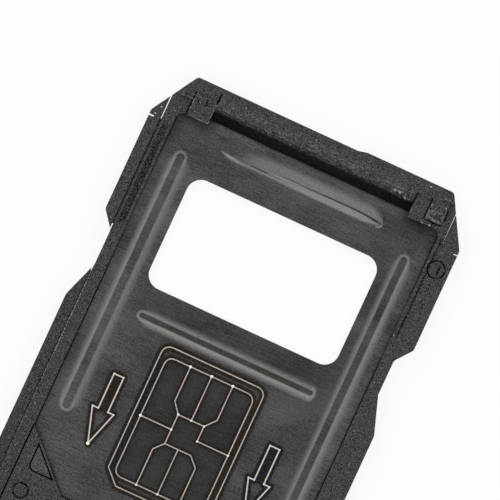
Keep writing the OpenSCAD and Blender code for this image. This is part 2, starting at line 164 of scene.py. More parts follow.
CROSS_BEAD_Y = 6.37
beads = [
    Bead(start=(-3.80, 1.44), end=(-3.80, 9.845), flat=0.13,
         reach=(0.29, 0.23), paleness=(0.76, 0.94), tapers=(0.34, 0.16)),
    Bead(start=(3.80, 1.44), end=(3.80, 9.845), flat=0.115,
         reach=(0.27, 0.22), paleness=(0.85, 0.92), tapers=(0.34, 0.16)),
    Bead(start=(-2.83, CROSS_BEAD_Y), end=(2.90, CROSS_BEAD_Y), flat=0.085,
         reach=(0.24, 0.25), paleness=(0.9, 0.98), tapers=(0.3, 0)),
]
print(len(beads), "beads,", DEPTH, "mm deep")

# %% [markdown]
# The scoop is drawn by lines that run across the tray. Each is a row of x values and a row of what
# the line has there, and np.interp gives what lies between. The ramp falls from near the crossbar
# to the low line, and the short shoulder rises from the low line to its foot.

# %% The scoop
RAMP_START = 0.22
LOW_LINE = ([-2.8, -2.1, -1.1, -0.4, 0.1, 1.6, 2.25, 2.62],
            [0.70, 0.755, 0.75, 0.715, 0.66, 0.64, 0.665, 0.705])
FOOT_LINE = ([-2.8, -2.5, -2.1, 2.1, 2.62, 2.75], [0.73, 0.86, 0.9, 0.895, 0.84, 0.77])
# How strong the highlight painted on the ramp is, across the tray
RAMP_HIGHLIGHT = ([-2.2, -0.8, 0.5, 2.6], [0.3, 0.48, 0.66, 0.6])
# The painted shade in the crease on the low line: its place, half its width and its strength
CREASE_LINE = ([-1.0, 0.1, 1.6, 2.25, 2.62], [0.66, 0.65, 0.63, 0.655, 0.705])
CREASE_WIDTH = ([-1.0, 0.6, 2.0, 2.6], [0.004, 0.009, 0.013, 0.03])
CREASE_STRENGTH = ([-1.0, -0.5, 1.8, 2.0, 2.56, 2.6], [0, 0.55, 0.68, 0.6, 0.55, 0])
# The highlight painted on the rim round the scoop's right tip
TIP = (2.6, 0.705)
TIP_RADIUS = 0.12


def scoop_painted_light(x, y, low_line, foot):
    """How strong the scoop's painted highlight is, and below zero where shade is painted in its creases."""
    ramp = soft(y, 0.2, 0.5) * (y < low_line) * soft(x + y, -1.7, -0.9) * soft(x - y, 2.25, 1.8)
    ramp = ramp * np.interp(x, *RAMP_HIGHLIGHT)
    shoulder = 0.95 * soft(y, low_line - 0.01, low_line + 0.05) * soft(y, foot + 0.01, foot - 0.08)
    shoulder = shoulder * soft(x, -2.92, -2.5) * soft(x, 2.72, 2.6)
    from_rim = np.abs(np.hypot(x - TIP[0], y - TIP[1]) - TIP_RADIUS)
    rim = 0.7 * soft(from_rim, 0.06, 0.015) * soft(x, 2.5, 2.62)
    # A highlight is painted along the low line where the crease begins
    low_line_highlight = soft(np.abs(y - low_line + 0.012), 0.035, 0.01) * soft(x, -1.5, -1.0) * soft(x, 0.4, -0.3)
    pale = np.maximum(np.maximum(ramp, shoulder), np.maximum(rim, low_line_highlight))
    # Painted shade in the crease itself, and fainter painted shade further to the left
    width = np.interp(x, *CREASE_WIDTH)
    first = soft(np.abs(y - np.interp(x, *CREASE_LINE)), width + 0.014, width - 0.006)
    first = first * np.interp(x, *CREASE_STRENGTH)
    second = 0.35 * soft(np.abs(y - low_line), 0.02, 0.004) * soft(x, -2.0, -1.6) * soft(x, -0.6, -1.1)
    crease = np.maximum(first, second)
    return pale * (1 - crease) - crease


def scoop(places):
    """How deep each place is sunk by the scoop, and how strong its painted highlight is."""
    x, y = places[:, 0], places[:, 1]
    low_line = np.interp(x, *LOW_LINE)
    foot = np.interp(x, *FOOT_LINE)
    within = soft(x, -2.85, -1.6) * soft(x, 2.8, 2.62)
    ramp = np.clip((y - RAMP_START) / (low_line - RAMP_START), 0, 1) ** 1.3
    shoulder = np.clip((foot - y) / (foot - low_line), 0, 1) ** 1.2
    sunk = DEPTH * within * np.where(y < low_line, ramp, shoulder)
    return sunk, scoop_painted_light(x, y, low_line, foot)


print("scoop ready")

# %% [markdown]
# Two more things change the coat by place. Shade is painted as a dark line at the foot of the
# pocket's walls, where the plastic meets the plate. And the coat as a whole is painted paler to the
# left and along the right wall, as painted light, and paler at the crossbar. It is darker behind
# the window, and painted shade darkens it by the clips and corners.

# %% The coat by place
# The pocket's half width, its length, and the leg of its cut corner
WALL_X = 4.445
POCKET_L = 12.5
KEY_LEG = 1.71


def painted_wall_shade(places):
    """1 in the painted shade along the foot of the pocket's walls, and 0 away from it."""
    x, y = places[:, 0], places[:, 1]
    from_key = (KEY_LEG - (x + WALL_X) - (POCKET_L - y)) / math.sqrt(2)
    gap = np.minimum(WALL_X - np.abs(x), POCKET_L - y)
    # Painted shade along the side walls and the cut corner, and at the leading wall
    sides = soft(gap, 0.04, 0.015) * (0.2 + 0.8 * soft(y, 3.5, 6.5) + 0.4 * soft(y, 2.8, 1.5))
    key = 0.5 * soft(-from_key, 0.04, 0.01)
    return np.maximum(np.maximum(sides, key), 0.7 * soft(y, 0.06, 0.01))


def coat_tone_and_painted_light(places):
    """How pale the coat is painted as a whole, with painted light and shade, where 1 is its plain tone."""
    x, y = places[:, 0], places[:, 1]
    # Painted light: paler to the left and along the right wall, a little darker to the right
    sides = 0.16 * soft(x, -1.5, -3.4) - 0.1 * soft(x, 2.0, 3.2) + 0.45 * soft(x, 3.9, 4.15)
    # Painted shade by the clips and in the pocket's front corners
    clips = 0.75 * soft(y, 0.65, 0.12) * soft(np.abs(x), 3.0, 3.5)
    corners = 0.45 * soft(y, 1.4, 0.6) * soft(np.abs(x), 3.9, 4.4)
    # Darker behind the window, and paler just before the crossbar
    behind = 0.3 * soft(np.abs(y - 5.95), 1.0, 0.35) * soft(np.abs(x), 3.6, 2.9)
    before = 0.28 * soft(y, 0.35, 0.14) * soft(np.abs(x), 3.3, 3.0)
    return 1.0 + sides + before - behind - np.maximum(clips, corners)


def pressed_plate(places):
    """How deep each place is sunk, and how strong its painted highlight is, with the painted shade in
    creases and along the walls below zero.
    """
    sunk, pale = scoop(places)
    for bead in beads:
        more, paler = bead.pressed(places)
        sunk = np.maximum(sunk, more)
        pale = np.where(paler > np.abs(pale), paler, pale)
    # The painted shade at the walls' foot is stored below zero, over any highlight
    dark = painted_wall_shade(places)
    return sunk, np.where(dark > 0, -dark, pale)


print("wall line and coat tone ready")

# %% [markdown]
# create_grid makes an even grid. Its columns and rows are then moved to the lines that are wanted,
# close together round the pressings. solidify gives the sheet its thickness, and two Boolean
# modifiers cut the window and the round corners.

# %% The plate's grid
# How far the frame grips the plate beyond the pocket, and how thick the plate is
EDGE = 0.17
THICK = 0.2
HALF_W = WALL_X + EDGE
WINDOW = ((-3.21, 1.76), (3.21, 5.43))
WINDOW_RADIUS = 0.48
OUTLINE = ((-HALF_W, -EDGE), (HALF_W, POCKET_L + EDGE))
OUTLINE_RADIUS = 0.25
# The steps of the grid, and the stretches where it is fine: at the walls, the beads and the scoop
FINE = 0.02
COARSE = 0.12
FINE_COLUMNS = [(-4.45, -4.37), (-4.21, -3.42), (3.48, 4.2), (4.37, 4.45), (-3.05, -2.75), (2.45, 3.1)]
FINE_ROWS = [(0.2, 0.95), (1.25, 1.5), (6.0, 6.75), (9.8, 10.1), (12.42, 12.5)]


def close_lines(start, end, fine_zones):
    """Line positions from start to end that are close together inside the fine zones."""
    lines = [start]
    while lines[-1] < end:
        here = lines[-1]
        step = FINE if any(a <= here <= b for a, b in fine_zones) else COARSE
        for a, _ in fine_zones:
            if here < a:
                step = min(step, max(a - here, FINE))
        lines.append(min(here + step, end))
    return lines


columns = close_lines(OUTLINE[0][0], OUTLINE[1][0], FINE_COLUMNS)
rows = close_lines(OUTLINE[0][1], OUTLINE[1][1], FINE_ROWS)
print(len(columns), "columns and", len(rows), "rows")


# %% Helpers for its mesh
def rounded_box(low, high, radius):
    """A bmesh box with its upright edges rounded, from 1 mm under the plate's top to 1 mm over."""
    box = bmesh.new()
    bmesh.ops.create_cube(box, size=1)
    size = (high[0] - low[0], high[1] - low[1], 2)
    centre = ((low[0] + high[0]) / 2, (low[1] + high[1]) / 2, 0)
    bmesh.ops.scale(box, vec=size, verts=box.verts)
    bmesh.ops.translate(box, vec=centre, verts=box.verts)
    upright = [e for e in box.edges if abs(e.verts[0].co.z - e.verts[1].co.z) > 0.5 * size[2]]
    bmesh.ops.bevel(box, geom=upright, offset=radius, offset_type="OFFSET", affect="EDGES",
                    segments=10, profile=0.5, material=-1)
    return box


def to_tray(shape):
    """Brings a bmesh from the plate's millimetres to metres in the tray's frame."""
    for vertex in shape.verts:
        x, y, z = vertex.co
        vertex.co = (x * MM, wall_y - y * MM, plate_z + z * MM)


def plate_object(name, shape):
    """An object in the tray's frame. Turning Y round flips the faces, so they are flipped back."""
    to_tray(shape)
    bmesh.ops.reverse_faces(shape, faces=shape.faces)
    return add_mesh(name, shape)


def cut(target, cutter, operation):
    """Applies a Boolean modifier to the target, and deletes the cutter."""
    modifier = target.modifiers.new(operation.lower(), "BOOLEAN")
    modifier.object, modifier.operation, modifier.solver = cutter, operation, "EXACT"
    with bpy.context.temp_override(object=target, active_object=target):
        bpy.ops.object.modifier_apply(modifier=modifier.name)
    bpy.data.objects.remove(cutter)


def store(shape, values_by_name):
    """Writes values onto the points of a bmesh, under the names that the finishes ask for."""
    for name, values in values_by_name.items():
        layer = shape.verts.layers.float.new(name)
        for vertex, value in zip(shape.verts, values):
            vertex[layer] = value


print("mesh helpers ready")

# %% The pressed plate
sheet = bmesh.new()
cells_x, cells_y = len(columns) - 1, len(rows) - 1
bmesh.ops.create_grid(sheet, x_segments=cells_x, y_segments=cells_y, size=0.5)
for vertex in sheet.verts:
    column = round((vertex.co.x + 0.5) * cells_x)
    row = round((vertex.co.y + 0.5) * cells_y)
    vertex.co.xy = (columns[column], rows[row])
sunk, _ = pressed_plate(np.array([v.co.xy for v in sheet.verts]))
for vertex, depth in zip(sheet.verts, sunk):
    vertex.co.z = -depth
bmesh.ops.solidify(sheet, geom=sheet.faces, thickness=THICK)
bmesh.ops.recalc_face_normals(sheet, faces=sheet.faces)
heights = [v.co.z for v in sheet.verts]
print("sheet from", round(min(heights), 3), "to", round(max(heights), 3), "mm")

plate = plate_object("floor_plate_pressed", sheet)
cut(plate, plate_object("window_cutter", rounded_box(*WINDOW, WINDOW_RADIUS)), "DIFFERENCE")
cut(plate, plate_object("outline_cutter", rounded_box(*OUTLINE, OUTLINE_RADIUS)), "INTERSECT")
print("plate has", len(plate.data.polygons), "faces")

# %% Its painted highlights and shade, and its shading
SHARP_ANGLE = math.radians(40)

sheet = bmesh.new()
sheet.from_mesh(plate.data)
places = np.array([(v.co.x / MM, (wall_y - v.co.y) / MM) for v in sheet.verts])
_, pale = pressed_plate(places)
store(sheet, {"stretch": pale, "coat_tone_and_painted_light": coat_tone_and_painted_light(places)})
for face in sheet.faces:
    face.smooth = True
for edge in sheet.edges:
    edge.smooth = edge.calc_face_angle(0) < SHARP_ANGLE
sheet.to_mesh(plate.data)
sheet.free()
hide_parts("floor_plate")
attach(plate, "root")
print("paleness up to", round(float(pale.max()), 2))

# %% [markdown]
# A finish is a node tree. Written as plain Python it stays readable if a socket can be added and
# multiplied like a number: the class Signal wraps a socket, and each sum or product with it adds
# one Math node. The class Finish owns the tree, and its method node adds any other node from its
# type, its settings and the values of its sockets.

# %% Shader maths
class Signal:
    """A socket of a finish, which can be added, multiplied and so on like a number."""

    def __init__(self, finish, socket):
        self.finish = finish
        self.socket = socket

    def math(self, operation, first, second):
        return self.finish.node("ShaderNodeMath", {"operation": operation}, {0: first, 1: second})

    def __add__(self, other):
        return self.math("ADD", self, other)

    def __sub__(self, other):
        return self.math("SUBTRACT", self, other)

    def __mul__(self, other):
        return self.math("MULTIPLY", self, other)

    def __radd__(self, other):
        return self.math("ADD", other, self)

    def __rsub__(self, other):
        return self.math("SUBTRACT", other, self)

    def step(self, start, end, kind="SMOOTHSTEP"):
        """Rises softly from 0 at start to 1 at end, or falls if end comes first."""
        low, high, first, last = (start, end, 0, 1) if start < end else (end, start, 1, 0)
        return self.finish.node("ShaderNodeMapRange", {"interpolation_type": kind},
                                {"Value": self, "From Min": low, "From Max": high,
                                 "To Min": first, "To Max": last})

    def clip(self, start, end):
        """The same, but in a straight line."""
        return self.step(start, end, "LINEAR")


# %% Finishes
# The angle by which noise is turned about X, so that no flat face lies along its cells
NOISE_TURN = 0.6


class Finish:
    """A material that is built node by node round one Principled shader."""

    def __init__(self, name, constants):
        self.material = bpy.data.materials.new(name)
        self.material.use_nodes = True
        self.tree = self.material.node_tree
        self.shader = self.tree.nodes["Principled BSDF"]
        for socket, value in constants.items():
            self.shader.inputs[socket].default_value = value
        place = self.node("ShaderNodeTexCoord", output="Object")
        self.millimetres = self.scaled(place, 1 / MM)
        self.turned = self.node("ShaderNodeMapping", None, {"Vector": place, "Rotation": (NOISE_TURN, 0, 0)})

    def node(self, kind, settings=None, inputs=None, output=0):
        made = self.tree.nodes.new(kind)
        for name, value in (settings or {}).items():
            setattr(made, name, value)
        for name, value in (inputs or {}).items():
            self.join(value, made.inputs[name])
        return Signal(self, made.outputs[output])

    def join(self, value, socket):
        if isinstance(value, Signal):
            self.tree.links.new(value.socket, socket)
        else:
            socket.default_value = value

    def feed(self, **sockets):
        """Joins values to the shader's sockets, whose names are written with underscores."""
        for name, value in sockets.items():
            self.join(value, self.shader.inputs[name.replace("_", " ")])

    def vector_math(self, operation, first, second, output=0):
        return self.node("ShaderNodeVectorMath", {"operation": operation}, {0: first, 1: second}, output)

    def scaled(self, vector, factor):
        """A colour or a place times a number."""
        return self.node("ShaderNodeVectorMath", {"operation": "SCALE"}, {0: vector, "Scale": factor})

    def coordinate(self, axis):
        """Where a point lies along X, Y or Z, in millimetres."""
        return self.node("ShaderNodeSeparateXYZ", None, {0: self.millimetres}, axis)

    def stored(self, name):
        """The value that the mesh stores under this name."""
        return self.node("ShaderNodeAttribute", {"attribute_name": name}, output="Fac")

    def stretched(self, size):
        """Turned coordinates, counted in grains of the given size along X, Y and Z."""
        return self.vector_math("DIVIDE", self.turned, [s * MM for s in size])

    def noise(self, size, detail=2.0, roughness=0.5):
        return self.node("ShaderNodeTexNoise", None,
                         {"Vector": self.stretched(size), "Scale": 1.0, "Detail": detail,
                          "Roughness": roughness})

    def mix(self, factor, first, second):
        """The first colour where the factor is 0, and the second where it is 1."""
        return self.node("ShaderNodeMix", {"data_type": "RGBA"}, {0: factor, 6: first, 7: second}, 2)

    def bump(self, height, depth, normal=None):
        sockets = {"Height": height, "Distance": depth * MM, "Strength": 1.0}
        if normal:
            sockets["Normal"] = normal
        return self.node("ShaderNodeBump", None, sockets)


def grey(value, warmth=0.0):
    """A linear grey, pushed a little to red and away from blue by warmth."""
    return (value * (1 + warmth), value, value * (1 - warmth), 1.0)


BLACK = grey(0.002)
print("shader helpers ready")

# %% [markdown]
# An edge of a moulding is never sharp: the mould's corner leaves a tiny radius, which catches the
# light. The CAD solids have sharp edges, and the Bevel node rounds the shading there without
# touching the mesh. Where the rounded normal leaves the true one lies an edge, so their dot
# product also gives a mask for the paler line painted along the edges, which is both the painted
# highlight of that radius and the rubbing of a used tray.

# %% Rounded edges
def rounded_normal(finish, radius):
    return finish.node("ShaderNodeBevel", {"samples": 8}, {"Radius": radius * MM})


def edge_mask(finish, rounded):
    """0 on a flat face, and 1 where the rounded normal clearly leaves the true one."""
    true_normal = finish.node("ShaderNodeNewGeometry", output="True Normal")
    agreement = finish.vector_math("DOT_PRODUCT", rounded, true_normal, "Value")
    return (1 - agreement).step(0.005, 0.05)


print("edge helpers ready")

# %% [markdown]
# The frame's plastic comes from a mould that was cut by sparks. Its skin is a field of tiny
# craters that scatters the light and glints here and there. Fine noise feeds the bump and the
# tone alike, so beside the grain the craters' hollows get painted shade and their tops painted
# light, and coarser noise adds lumps. The few cells of a Voronoi pattern whose random value is
# highest turn pale and smooth, which paints the glints, and those whose value is lowest turn black,
# as the painted shade of tiny pits. The cap wears the same skin with larger, flatter craters and
# fewer glints.

# %% The moulded plastic
# The width of the Voronoi cells, in millimetres
GLINT_CELL = 0.07


def bluish(value):
    return (value, value, value * 1.1, 1)


def moulded_skin(name, dark, pale, rough, crater, depth, glints):
    """The plain skin: the finish, still open, with its colour, its tone, its noises and edges."""
    finish = Finish(name, {"IOR": 1.5})
    rounded = rounded_normal(finish, 0.025)
    craters = finish.noise([crater] * 3, detail=2.0, roughness=0.55)
    lumps = finish.noise([crater * 4] * 3, detail=2.0)
    cells = finish.node("ShaderNodeTexVoronoi", {"feature": "F1"},
                        {"Vector": finish.stretched([GLINT_CELL] * 3), "Scale": 1.0})
    cell_colour = Signal(finish, cells.socket.node.outputs["Color"])
    luck = finish.node("ShaderNodeSeparateColor", None, {0: cell_colour})
    # The highest cells get a painted glint, and the lowest painted shade as black pits
    glint = luck.step(1.0 - glints, 1.0) * cells.step(0.45, 0.15)
    pit_shade = luck.step(glints * 2, 0.0) * cells.step(0.45, 0.2)
    # The tone follows the bump's craters: painted shade in their hollows, painted light on their tops
    tone = (craters * 0.92 + lumps * 0.08).step(0.4, 0.6)
    skin = finish.mix(tone, bluish(dark), bluish(pale))
    skin = finish.mix(pit_shade, finish.mix(glint, skin, grey(0.3)), BLACK)
    edges = edge_mask(finish, rounded_normal(finish, 0.05)) * lumps.step(0.42, 0.58)
    finish.feed(
        Base_Color=skin,
        Roughness=rough - glint * 0.15 + (1 - tone) * 0.25,
        Normal=finish.bump(craters * 0.9 + lumps * 0.1, depth, rounded),
    )
    return finish, skin, tone, craters, lumps, edges


cap_finish, *_ = moulded_skin("cap_plastic", dark=0.01, pale=0.03, rough=0.4,
                              crater=0.04, depth=0.008, glints=0.005)
cap_plastic = cap_finish.material
print("made", cap_plastic.name)

# %% [markdown]
# The frame has the same skin, and more on it, which masks draw. Some ask for the distance to a
# line, seen from above, and some for the height. Points are given across from the tray's middle,
# and along it, mostly ahead of the pocket's leading wall.

# %% The frame's own plastic
finish, skin, tone, craters, lumps, edges = moulded_skin(
    "spark_eroded_plastic", dark=0.002, pale=0.084, rough=0.4, crater=0.028, depth=0.03, glints=0.03)
across, back, height = [finish.coordinate(axis) for axis in "XYZ"]


def near_line(start, end, inner, outer):
    """1 within inner of the line from start to end, seen from above, and 0 beyond outer."""
    run = Vector((end[0] - start[0], end[1] - start[1], 0))
    out = finish.vector_math("SUBTRACT", finish.millimetres, (*start, 0))
    out = finish.vector_math("MULTIPLY", out, (1, 1, 0))
    along = finish.vector_math("DOT_PRODUCT", out, run / run.length_squared, "Value")
    foot = finish.scaled(run, along.clip(0, 1))
    gap = finish.vector_math("DISTANCE", out, foot, "Value")
    return gap.step(outer, inner)


def by_wall(x, ahead):
    """The point at x that lies so far ahead of the pocket's leading wall."""
    return x, lead_wall + ahead


def at_height(z):
    """1 on faces at this height, and 0 from 0.012 mm above and below."""
    return height.step(z - 0.012, z - 0.006) * height.step(z + 0.012, z + 0.006)


print("masks ready on", finish.material.name)

# %% [markdown]
# Shade is painted black into the bottoms of the frame's seams, outlined marks, shallow grooves
# and sunk pad, which all lie at known heights. The seams' painted shade is faint except at the
# key. The outlines are broken by the lumps, and the grooves and the pad are pitted with painted
# shade. Shade is also painted where the crossbar's slope falls to the plate, between the clips,
# and along a few creases at the clips. A pit swallows the light, so painted shade is no good as
# black plastic, which still shines. As a metal with a black colour it does not.

# %% Where shade is painted on the frame
SEAM_Z, MARK_Z, GROOVE_Z, PAD_Z = 0.95, 0.98, 0.99, 1.20
# Both ends of each crease whose shade is painted: across, and ahead of the leading wall
CREASES = (
    ((3.80, 0.66), (3.80, 0.02)),
    ((3.88, -0.01), (4.36, -0.01)),
    ((3.31, 0.62), (3.31, 0.25)),
    ((4.41, 0.5), (4.43, 0.2)),
    ((-3.45, 0.86), (-3.46, 0.5)),
    ((-3.76, 0.50), (-3.74, 0.34)),
    ((-4.03, 0.38), (-3.97, 0.32)),
)

# Painted shade in the seams, stronger by the key, and in the outlined marks
by_key = back.step(-2.5, -3.0) * across.step(-4.6, -4.5)
seams = at_height(SEAM_Z) * (0.3 + by_key * 0.6)
outlines = seams + at_height(MARK_Z) * lumps.step(0.36, 0.56) * 0.85
# Pits of painted shade in the grooves and the pad
pits = (at_height(GROOVE_Z) + at_height(PAD_Z)).clip(0, 1)
pits = pits * finish.noise((0.06, 0.06, 0.06), roughness=0.65).step(0.55, 0.44) * 0.52
# Painted shade where the crossbar's slope falls to the plate, between the clips
crossbar_shade = near_line(by_wall(-3.6, 0.02), by_wall(3.4, 0.02), 0.25, 0.5)
crossbar_shade = crossbar_shade * across.step(-3.46, -3.44) * across.step(3.33, 3.31)
crossbar_shade = crossbar_shade * (height + lumps * 0.24 - 0.12).step(1.22, 1.06) * (1 - lumps.step(0.55, 0.7) * 0.5)
# Painted shade along the creases at the clips
creases = sum(near_line(by_wall(*start), by_wall(*end), 0.012, 0.04) for start, end in CREASES)
# All the painted shade on the frame, which turns its colour black
painted_frame_shade = (outlines + pits + crossbar_shade * 0.55 + creases * craters.step(0.35, 0.55)).clip(0, 1)
print(len(CREASES), "creases")

# %% [markdown]
# Pale places are painted on the frame, some from use and some as painted light. The edges of its
# raised parts show wear, and a highlight is painted along them. The crossbar's top is rubbed in
# mottled streaks that also paint its sheen, with a few brighter flecks near its right end. The pad
# on the key is a little paler than the skin round it. From the foot of the left notch backwards,
# fine glints and some larger strokes of glint are painted along the parting line, and a few single
# glints are painted here and there.

# %% Where the frame is painted pale, with wear and painted highlights
PARTING_X = -4.825
# Across and along the tray, and how light the painted glint is
PAINTED_GLINTS = (
    (3.60, 8.13, 0.55),
    (4.18, 7.98, 0.2),
    (4.30, 7.995, 0.2),
    (4.296, 7.72, 0.35),
    (4.056, 7.035, 0.8),
    (-4.99, 6.896, 0.5),
    (-5.08, 6.63, 0.6),
    (-3.97, 7.497, 0.35),
    (-4.40, 6.227, 0.5),
)

# Pale edges: wear, and the painted highlight of their rounded radius
worn_and_highlit = edges * height.step(1.1, 1.15) * back.step(lead_wall + 0.56, lead_wall + 0.5)
# Pale streaks on the crossbar's top: rubbing, and a painted sheen along its highlight band
streaks = finish.noise((0.14, 0.06, 0.06)).step(0.48, 0.66)
rub_and_sheen = near_line(by_wall(-3.3, 0.58), by_wall(3.1, 0.58), 0.05, 0.24) * streaks * 0.5
rub_and_sheen = rub_and_sheen + near_line(by_wall(-3.36, 0.36), by_wall(3.10, 0.36), 0.0, 0.14) * streaks * 0.6
flecks = near_line(by_wall(2.62, 0.40), by_wall(3.08, 0.31), 0.05, 0.14) * streaks.step(0.3, 0.7)
key_pad = near_line((-3.86, -4.5), (-3.62, -4.74), 0.2, 0.42) * height.step(0.96, 1.0)
# Glints painted as fine dots and short strokes along the parting line's edge
parting_glints = near_line((PARTING_X, 1.5), (PARTING_X, -8), 0.002, 0.02) * craters.step(0.52, 0.6)
parting_glint_dashes = near_line((PARTING_X - 0.002, 1.0), (PARTING_X - 0.002, -1.4), 0.006, 0.018)
parting_glint_dashes = parting_glint_dashes * finish.noise((0.02, 0.05, 0.05), detail=0.0).step(0.52, 0.6)

marked = skin
for mask, light in (
    (worn_and_highlit * (craters + 0.5), 0.3),
    (rub_and_sheen, 0.2),
    (flecks * 0.8, 0.5),
    (key_pad * craters.step(0.3, 0.5) * 0.5, 0.115),
    (parting_glints, 0.5),
    (parting_glint_dashes, 0.65),
):
    marked = finish.mix(mask, marked, grey(light))
# Each painted glint is a small pale spot
for x, y, light in PAINTED_GLINTS:
    marked = finish.mix(near_line((x, y), (x + 0.02, y), 0.006, 0.03), marked, grey(light))
marked = finish.mix(painted_frame_shade, marked, BLACK)
# The painted shade and the craters' hollows turn metallic, so they stay dark
finish.feed(Base_Color=marked, Metallic=(painted_frame_shade + (1 - tone) * 0.4).clip(0, 1))
frame_plastic = finish.material
print("made", frame_plastic.name, "with", len(PAINTED_GLINTS), "specks")

# %% [markdown]
# The plate is stainless steel, brushed across the tray, pressed and then coated black. Noise that
# is long along X gives the brushing, finer noise the specks, and slow noise the clouds, and the
# mesh carries the coat's tone by place, with its painted light and shade, as the attribute
# coat_tone_and_painted_light. A highlight is painted into the coat on the shoulders of the beads,
# paler and duller, so they look paler from every side. The mesh carries that as the attribute
# stretch, which is below zero where shade is painted black in a crease or at the foot
# of a wall. Some grains of the highlight painted on the cross bead's shoulders are cream instead
# of grey.

# %% The coated steel
STEEL = {"IOR": 1.5}
METAL = 0.75
STEEL_ROUGH = 0.3
RELIEF_DEPTH = 0.001
CREAM = (0.292, 0.28, 0.25, 1)


class Coat:
    """The black coat on brushed steel, before anything is drawn on it."""

    def __init__(self, finish):
        self.brushed = finish.noise((0.45, 0.024, 0.024), detail=0.0)
        self.specks = finish.noise((0.05, 0.025, 0.025), detail=1.0, roughness=0.5)
        self.clouds = finish.noise((1.6, 1.1, 1.1), detail=2.0)
        grain = (self.brushed * 0.22 + self.specks * 0.48 + self.clouds * 0.3).step(0.36, 0.64)
        plain = finish.mix(grain, grey(0.012, 0.01), grey(0.060, 0.01))
        self.colour = finish.scaled(plain, finish.stored("coat_tone_and_painted_light"))
        self.relief = self.brushed * 0.6 + self.specks * 0.4


def coated_steel(name):
    finish = Finish(name, STEEL)
    coat = Coat(finish)
    stretch = finish.stored("stretch")
    # The highlight painted on the shoulders, grainy with the specks
    pale = stretch.clip(0, 1) * (0.4 + coat.specks * 1.2)
    # The shade painted black in creases and at the walls' foot
    crease = stretch.clip(0, -1)
    across, back = finish.coordinate("X"), finish.coordinate("Y")
    # The painted highlight turns cream in some grains of the cross bead's shoulders
    cross_y = lead_wall - CROSS_BEAD_Y
    crossing = back.step(cross_y - 0.5, cross_y - 0.3) * back.step(cross_y + 0.5, cross_y + 0.3)
    crossing = crossing * across.step(-3.4, -3.2) * across.step(3.4, 3.2)
    highlight_colour = finish.mix(crossing * coat.specks.step(0.35, 0.6), grey(0.27, -0.01), CREAM)
    highlit_coat = finish.mix(pale, coat.colour, highlight_colour)
    finish.feed(
        Base_Color=finish.mix(crease, highlit_coat, BLACK),
        Metallic=METAL - pale * METAL + crease * (1 - METAL),
        Roughness=STEEL_ROUGH + pale * 0.2 + crease * 0.5 + coat.brushed * 0.1,
        Normal=finish.bump(coat.relief, RELIEF_DEPTH),
    )
    return finish.material


plate_steel = coated_steel("coated_steel")
plate.data.materials.append(plate_steel)
print("made", plate_steel.name)

# %% The finishes go onto the CAD solids
for node, material in (("tray_frame", frame_plastic), ("face_cap", cap_plastic)):
    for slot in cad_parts[node].material_slots:
        slot.material = material
    print(node, "wears", material.name)

# %% [markdown]
# A laser burns a sign for the chip and two arrows into the coat, so that the card is laid in the
# right way round. A sign like this has no height of its own. It could be painted in the plate's
# material, but then its lines are only as sharp as a baked image. So it gets a film that lies on
# the plate, two thousandths of a millimetre above it. First come the lines, as plain points: x
# across from the tray's middle, and y back from the pocket's leading wall.

# %% The lines of the signs
def rounded_path(corners):
    """Closed path through (x, y, radius) corners, each radius drawn in eight steps."""
    path = []
    for i, (x, y, r) in enumerate(corners):
        here = Vector((x, y))
        before = (Vector(corners[i - 1][:2]) - here).normalized()
        after = (Vector(corners[(i + 1) % len(corners)][:2]) - here).normalized()
        if r == 0:
            path.append(here)
            continue
        for k in range(9):
            t = k / 8
            path.append(here + before * r * (1 - t) ** 2 + after * r * t ** 2)
    return path + path[:1]


# The chip's sign is drawn round x = 0 and then moved
CHIP_X = -0.09
CHIP_Y = 0.025
outer = rounded_path([(-1.72, 6.855, 0.31), (1.72, 6.855, 0.31), (1.72, 11.48, 0.31),
                      (-1.27, 11.48, 0), (-1.72, 11.03, 0)])
inner = rounded_path([(-1.49, 7.16, 0.29), (1.49, 7.16, 0.29), (1.49, 11.17, 0.29), (-1.49, 11.17, 0.29)])
contacts = [
    [(-0.71, 7.16), (-0.71, 8.32), (-0.44, 8.66), (0.44, 8.66), (0.73, 8.32), (0.73, 7.16)],
    [(0.01, 7.16), (0.01, 8.66)],
    [(-0.44, 8.66), (-0.44, 9.65), (0.44, 9.65), (0.74, 9.95), (0.74, 11.17)],
    [(-1.49, 9.17), (-0.44, 9.17)],
    [(0.44, 8.66), (0.44, 9.17), (1.49, 9.17)],
    [(-0.44, 9.65), (-0.71, 9.95), (-0.71, 11.17)],
    [(0.01, 9.65), (0.01, 11.17)],
]
# Each arrow is a shaft with a head behind it, drawn round its own middle
ARROWS_X = (-2.695, 2.615)
SHAFT_HALF = 0.162
SHAFT_START = 8.362
NECK_Y = 9.536
arrow = [(-SHAFT_HALF, SHAFT_START), (SHAFT_HALF, SHAFT_START), (SHAFT_HALF, NECK_Y), (0.36, NECK_Y),
         (0, 10.66), (-0.36, NECK_Y), (-SHAFT_HALF, NECK_Y), (-SHAFT_HALF, SHAFT_START)]

paths = [[(x + CHIP_X, y + CHIP_Y) for x, y in path] for path in (outer, inner, *contacts)]
paths += [[(x + arrow_x, y) for x, y in arrow] for arrow_x in ARROWS_X]
print(len(paths), "paths,", sum(len(p) - 1 for p in paths), "strokes")

# %% [markdown]
# Where the laser turned or stopped, it burned a bright dot. The dots of the chip's sign lie where
# its lines meet, and four of them are a little larger. Those of an arrow lie at its corners, with
# the largest at its tip.

# %% The dots of the signs
# The places in the chip's sign, by the radius of their dots
JUNCTIONS = {
    0.040: ((-0.71, 7.16), (0.01, 7.16), (0.73, 7.16), (-1.49, 9.17)),
    0.032: ((-0.44, 9.17), (-0.44, 8.66), (0.01, 8.66), (0.44, 8.66), (0.44, 9.17), (1.49, 9.17),
            (-0.71, 11.17), (0.01, 11.17), (0.74, 11.17)),
}
TIP_DOT = 0.048
CORNER_DOT = 0.022

